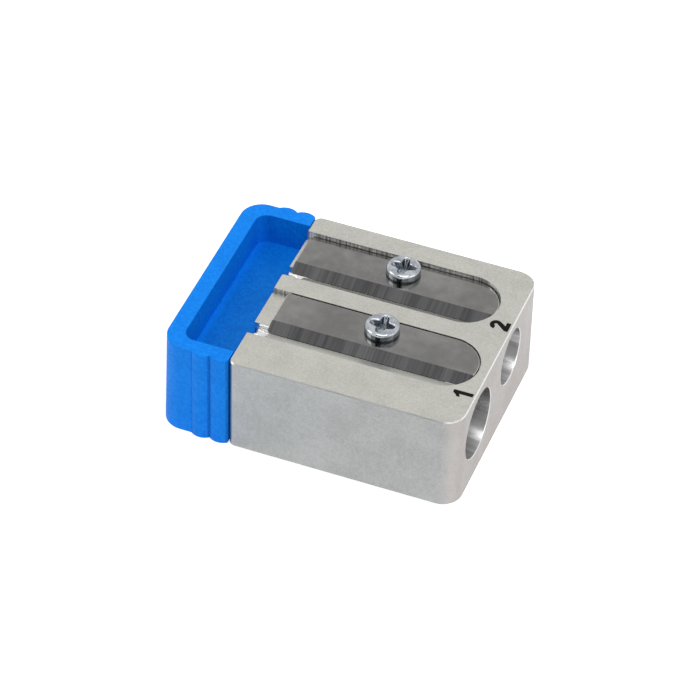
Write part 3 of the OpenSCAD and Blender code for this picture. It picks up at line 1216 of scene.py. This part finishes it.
@dataclass
class Screw:
    """One blade screw: a domed head with a star-shaped recess, and a threaded shank.

    Args:
        station: The station whose blade the screw holds.
        materials: The finishes.
        turn: Turn of the recess.
        head_radius: Radius of the head.
        side_height: Height of the head's straight side.
        rim_radius: Rounding between the side and the dome.
        rim_steps: Steps of that rounding.
        head_height: Height of the dome's middle.
        star_tip: Distance of the recess's tips from its middle.
        star_waist: Distance of its waists from its middle.
        star_square: How square the ends of its arms are.
        recess_depth: Depth of the recess.
        recess_wall: Part of the recess's width that its walls take up.
        lip_drop: How far the lip of the recess is drawn in.
        lip_fade: How fast the lip runs out into the dome.
        lip: Part of the recess's depth that keeps the dome's plating, above the darker plating that paints the
            recess's shade.
        foot_height: Height of the dark ring at the foot of the head, which paints the contact shadow under it.
        foot_chamfer: Chamfer under that ring.
        core_radius: Radius of the shank at the root of the thread.
        thread_radius: Outer radius of the thread.
        thread_pitch: Rise of the thread in one turn.
        thread_root: Half width of the thread at its root, as a part of its pitch.
        thread_crest: Half width of the thread at its crest.
        thread_sink: How far the thread's root lies inside the core.
        thread_steps: Steps of one turn of the thread.
        thread_top: Distance from the head to the first thread.
        shank_length: Length under the head.
        tip_length: Length of the shank's pointed end.
        segments: Steps round the head.
        rings: Rings across the recess, and across the dome round it.
    """

    looks: ClassVar[tuple[Look, ...]] = (Look.RECESS, Look.TARNISHED, Look.PLATED)
    station: Station
    materials: Mapping[Look, bpy.types.Material]
    turn: float = 0.0
    head_radius: float = 2.0 * MM
    side_height: float = 0.68 * MM
    rim_radius: float = 0.38 * MM
    rim_steps: int = 8
    head_height: float = 1.2 * MM
    star_tip: float = 1.42 * MM
    star_waist: float = 0.84 * MM
    star_square: float = 4.0
    recess_depth: float = 1.0 * MM
    recess_wall: float = 0.36
    lip_drop: float = 0.20 * MM
    lip_fade: int = 4
    lip: float = 0.16
    foot_height: float = 0.26 * MM
    foot_chamfer: float = 0.06 * MM
    core_radius: float = 0.80 * MM
    thread_radius: float = 0.995 * MM
    thread_pitch: float = 0.4 * MM
    thread_root: float = 0.44
    thread_crest: float = 0.06 * MM
    thread_sink: float = 0.04 * MM
    thread_steps: int = 32
    thread_top: float = 0.75 * MM
    shank_length: float = 6.0 * MM
    tip_length: float = 0.7 * MM
    segments: int = 144
    rings: int = 24

    def __post_init__(self) -> None:
        """Works out the dome that runs smoothly into the rounded rim, and the floor of the recess."""
        self.rim_middle = self.head_radius - self.rim_radius
        drop = self.head_height - self.side_height
        spread = self.rim_middle ** 2 + drop ** 2 - self.rim_radius ** 2
        self.dome_radius = spread / (2 * (drop - self.rim_radius))
        self.dome_middle = self.head_height - self.dome_radius
        self.rim_slope = math.asin(self.rim_middle / (self.dome_radius - self.rim_radius))
        self.dome_end = self.dome_radius * math.sin(self.rim_slope)
        self.floor = self.head_height - self.recess_depth

    def build(self) -> list[bpy.types.Object]:
        """Builds the screw.

        Returns:
            The piece made.
        """
        mesh = bmesh.new()
        spin_profile(mesh, self._profile(), self.segments)
        self._press_recess(mesh)
        # The recess and the foot ring take darker plating: painted shade, and a painted contact shadow under the
        # head.
        assign(mesh, [self._in_recess, self._at_foot, lambda face: True])
        self._wind_thread(mesh)
        axis = screw_axis(self.station)
        tilt = axis.along.to_track_quat("Z", "Y").to_matrix().to_4x4()
        turned = Matrix.Translation(axis.point) @ tilt @ Matrix.Rotation(self.turn - math.pi / 2, 4, "Z")
        bmesh.ops.transform(mesh, matrix=turned, verts=mesh.verts)
        bmesh.ops.recalc_face_normals(mesh, faces=mesh.faces)
        materials = [self.materials[look] for look in self.looks]
        screw = make_piece(mesh, f"plated_{self.station.screw_body}", materials)
        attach(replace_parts(screw, self.station.screw_node), self.station.screw_body)
        return [screw]

    def _dome(self, radius: float) -> float:
        """Height of the dome at a distance from its middle."""
        return self.dome_middle + math.sqrt(self.dome_radius ** 2 - radius ** 2)

    def _profile(self) -> list[tuple[float, float]]:
        """Draws the half section of the head and core before the recess is pressed in.

        Returns:
            The points from the top middle to the shank's end, as radius and height.
        """
        beyond = self.dome_end - self.star_tip
        radii = [self.star_tip * i / self.rings for i in range(self.rings)]
        radii += [self.star_tip + beyond * i / self.rings for i in range(self.rings + 1)]
        points = [(radius, self._dome(radius)) for radius in radii]
        for step in range(1, self.rim_steps + 1):
            slope = self.rim_slope + (math.pi / 2 - self.rim_slope) * step / self.rim_steps
            points.append((self.rim_middle + self.rim_radius * math.sin(slope),
                           self.side_height + self.rim_radius * math.cos(slope)))
        return [*points, (self.head_radius, self.foot_height), (self.head_radius, self.foot_chamfer),
                (self.head_radius - self.foot_chamfer, 0.0), (self.core_radius, 0.0),
                (self.core_radius, self.tip_length - self.shank_length), (0.0, -self.shank_length)]

    def _star(self, angle: float) -> float:
        """Distance of the recess's outline from its middle.

        Args:
            angle: Direction, counted from one of the four tips.

        Returns:
            The distance.
        """
        narrowing = abs(math.sin(2 * angle)) / self.star_waist
        return (self.star_tip ** -self.star_square + narrowing ** self.star_square) ** (-1 / self.star_square)

    def _press_recess(self, mesh: Shell) -> None:
        """Draws the rings of the dome onto the star and presses the inner ones down.

        Args:
            mesh: The spun head.
        """
        for vert in mesh.verts:
            radius = vert.co.xy.length
            if vert.co.z < self._dome(self.dome_end) - MERGE_DISTANCE or radius < MERGE_DISTANCE:
                continue
            star = self._star(math.atan2(vert.co.y, vert.co.x))
            inside = radius / self.star_tip
            outside = (radius - self.star_tip) / (self.dome_end - self.star_tip)
            drawn = star * inside if inside <= 1 else star + (self.dome_end - star) * outside
            wall = min(max((1 - inside) / self.recess_wall, 0.0), 1.0)
            lip = self.lip_drop * (1 - min(max(outside, 0.0), 1.0)) ** self.lip_fade
            vert.co.xy = vert.co.xy * (drawn / radius)
            vert.co.z = (self._dome(drawn) - lip) * (1 - wall) + self.floor * wall
        middle = min(mesh.verts, key=lambda v: v.co.xy.length - v.co.z)
        middle.co.z = self.floor

    def _in_recess(self, face: Face) -> bool:
        """Tells whether a face of the head lies in the recess, whose darker plating paints its shade.

        Args:
            face: The face.

        Returns:
            True if it does.
        """
        middle = face.calc_center_median()
        within = middle.xy.length < self._star(math.atan2(middle.y, middle.x))
        sunk = middle.z < self._dome(middle.xy.length) - self.lip * self.recess_depth
        return within and sunk and middle.z > self.floor / 2

    def _at_foot(self, face: Face) -> bool:
        """Tells whether a face is part of the dark ring at the foot of the head, which paints the contact shadow.
        """
        middle = face.calc_center_median()
        return middle.xy.length > self.rim_middle and middle.z < self.foot_height

    def _wind_thread(self, mesh: Shell) -> None:
        """Winds the thread as a closed ridge that is spun down the core.

        Args:
            mesh: The mesh of the head and core.
        """
        length = self.shank_length - self.tip_length - self.thread_top
        turns = length / self.thread_pitch
        steps = int(turns * self.thread_steps)
        root, half = self.core_radius - self.thread_sink, self.thread_root * self.thread_pitch
        corners = [(root, half), (self.thread_radius, self.thread_crest),
                   (self.thread_radius, -self.thread_crest), (root, -half)]
        face = mesh.faces.new([mesh.verts.new((r, 0, h - self.thread_top)) for r, h in corners])
        face.material_index = self.looks.index(Look.PLATED)
        bmesh.ops.spin(mesh, geom=[face], cent=(0, 0, 0), axis=(0, 0, 1), dvec=(0, 0, -length / steps),
                       angle=math.tau * turns, steps=steps, use_merge=False)


# ---------------------------------------------------------------------------------------------------
# Studio
# ---------------------------------------------------------------------------------------------------


@dataclass(frozen=True)
class Panel:
    """A square of the studio that faces the object: a soft lamp, or a card for the metal to mirror.

    Args:
        name: Name of the panel.
        place: Place of its middle.
        size: Length of its sides.
        power: Power of a lamp, or 0 for a dark card.
    """

    name: str
    place: tuple[float, float, float]
    size: float
    power: float = 0.0

    def hang(self) -> None:
        """Hangs the panel so that it faces the object."""
        place = Vector(self.place)
        turn = (-place).to_track_quat("-Z", "Y")
        if self.power > 0:
            data = bpy.data.lights.new(self.name, "AREA")
            data.size = self.size
            data.energy = self.power
            panel = bpy.data.objects.new(self.name, data)
            panel.location = place
            panel.rotation_euler = turn.to_euler()
            bpy.context.scene.collection.objects.link(panel)
            return
        mesh = bmesh.new()
        bmesh.ops.create_grid(mesh, x_segments=1, y_segments=1, size=self.size / 2)
        turned = Matrix.Translation(place) @ turn.to_matrix().to_4x4()
        bmesh.ops.transform(mesh, matrix=turned, verts=mesh.verts)
        card = add_stage(mesh, self.name)
        graph = Graph(card.active_material.node_tree)
        paint = graph.node("BsdfDiffuse", {"Color": (0.02, 0.02, 0.025)})
        graph.node("OutputMaterial", {"Surface": paint.outputs[0]})
        card.visible_camera = False
        card.visible_diffuse = False
        card.visible_shadow = False


def add_stage(mesh: Shell, name: str) -> bpy.types.Object:
    """Makes a stage object with an empty material.

    Args:
        mesh: Its mesh, which is freed.
        name: Its name and its material's.

    Returns:
        The object.
    """
    data = bpy.data.meshes.new(name)
    mesh.to_mesh(data)
    mesh.free()
    material = bpy.data.materials.new(name)
    material.use_nodes = True
    material.node_tree.nodes.clear()
    data.materials.append(material)
    made = bpy.data.objects.new(name, data)
    bpy.context.scene.collection.objects.link(made)
    return made


@dataclass
class Studio:
    """Camera, floor, lamps, cards and background.

    Args:
        azimuth: Turn of the camera from -Y towards +X, in degrees.
        elevation: Height of the camera above the horizon, in degrees.
        roll: Turn of the camera about its own axis, in degrees.
        distance: Distance of the camera from its aim.
        aim: Point that the camera looks at.
        lens: Focal length, in millimetres.
        sensor: Width of the sensor, in millimetres.
        floor_size: Length of the floor's sides.
        floor_drop: Distance of the floor under the object.
        floor_paint: Diffuse grey of the floor.
        floor_glow: Light that the camera sees on top of the floor's own.
        floor_sheen: Light that mirrors see on top of the floor's own.
        background_level: Strength of the background as a light.
        panels: The lamps and cards.
    """

    azimuth: float = 19.85
    elevation: float = 42.47
    roll: float = 1.82
    distance: float = 429.2 * MM
    aim: Vector = field(default_factory=lambda: Vector((0.07, 0.05, 6.25)) * MM)
    lens: float = 195.18
    sensor: float = 36.0
    floor_size: float = 3.0
    floor_drop: float = 0.02 * MM
    floor_paint: float = 0.85
    floor_glow: float = 0.5
    floor_sheen: float = 0.08
    background_level: float = 0.50
    panels: tuple[Panel, ...] = (
        Panel("overhead_lamp", (0.10, -0.20, 0.60), 0.45, 1.7),
        Panel("left_lamp", (-0.50, -0.16, 0.40), 0.30, 0.75),
        Panel("right_lamp", (0.45, -0.10, 0.26), 0.30, 0.25),
        Panel("camera_side_card", (-0.03, -0.34, 0.34), 0.22),
    )

    def build(self) -> None:
        """Sets up everything round the object."""
        bpy.context.scene.view_settings.view_transform = "Standard"
        self._place_camera()
        self._lay_floor()
        self._surround()
        for panel in self.panels:
            panel.hang()

    def _place_camera(self) -> None:
        """Places the camera on its sphere round the aim."""
        azimuth, elevation = math.radians(self.azimuth), math.radians(self.elevation)
        back = Vector((math.sin(azimuth) * math.cos(elevation), -math.cos(azimuth) * math.cos(elevation),
                       math.sin(elevation)))
        data = bpy.data.cameras.new("camera")
        data.lens = self.lens
        data.sensor_width = self.sensor
        data.clip_start = 0.01
        camera = bpy.data.objects.new("camera", data)
        camera.matrix_world = (Matrix.Translation(self.aim + back * self.distance)
                               @ (-back).to_track_quat("-Z", "Y").to_matrix().to_4x4()
                               @ Matrix.Rotation(math.radians(self.roll), 4, "Z"))
        bpy.context.scene.collection.objects.link(camera)
        bpy.context.scene.camera = camera

    def _lay_floor(self) -> None:
        """Lays a pale floor that looks white and keeps a soft shadow."""
        mesh = bmesh.new()
        bmesh.ops.create_grid(mesh, x_segments=1, y_segments=1, size=self.floor_size / 2)
        bmesh.ops.translate(mesh, vec=(0, 0, -self.floor_drop), verts=mesh.verts)
        graph = Graph(add_stage(mesh, "floor").active_material.node_tree)
        paper = graph.node("BsdfDiffuse", {"Color": (self.floor_paint,) * 3})
        path = graph.node("LightPath").outputs
        for_camera = graph.math("MULTIPLY", path["Is Camera Ray"], self.floor_glow)
        strength = graph.math("MULTIPLY_ADD", path["Is Glossy Ray"], self.floor_sheen, for_camera)
        glow = graph.node("Emission", {"Color": (1.0, 1.0, 1.0), "Strength": strength})
        both = graph.node("AddShader", {"0": paper.outputs[0], "1": glow.outputs[0]})
        graph.node("OutputMaterial", {"Surface": both.outputs[0]})

    def _surround(self) -> None:
        """Surrounds the object with white that lights it at a plain level."""
        world = bpy.data.worlds.new("studio")
        world.use_nodes = True
        world.node_tree.nodes.clear()
        graph = Graph(world.node_tree)
        path = graph.node("LightPath").outputs
        mirrored = graph.math("MAXIMUM", path["Is Glossy Ray"], path["Is Transmission Ray"])
        seen = graph.math("MAXIMUM", path["Is Camera Ray"], mirrored)
        level = graph.node("MapRange", {"Value": seen, "To Min": self.background_level, "To Max": 1.0})
        sky = graph.node("Background", {"Color": (1.0, 1.0, 1.0), "Strength": level.outputs["Result"]})
        graph.node("OutputWorld", {"Surface": sky.outputs[0]})
        bpy.context.scene.world = world


def main() -> None:
    """Builds the studio and every piece."""
    logging.basicConfig(level=logging.INFO, format="%(name)s: %(message)s")
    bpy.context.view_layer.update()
    Studio().build()
    looks = make_finishes(Effects.make())
    assemblies = [
        Block(looks), Digits(looks[Look.INK]), StopCap(looks),
        Blade(Station.WOOD, looks), Blade(Station.LEAD, looks),
        Screw(Station.WOOD, looks), Screw(Station.LEAD, looks, turn=math.radians(3)),
    ]
    for assembly in assemblies:
        for piece in assembly.build():
            LOG.info("%s: %d faces", piece.name, len(piece.data.polygons))


if __name__ == "__main__":
    main()
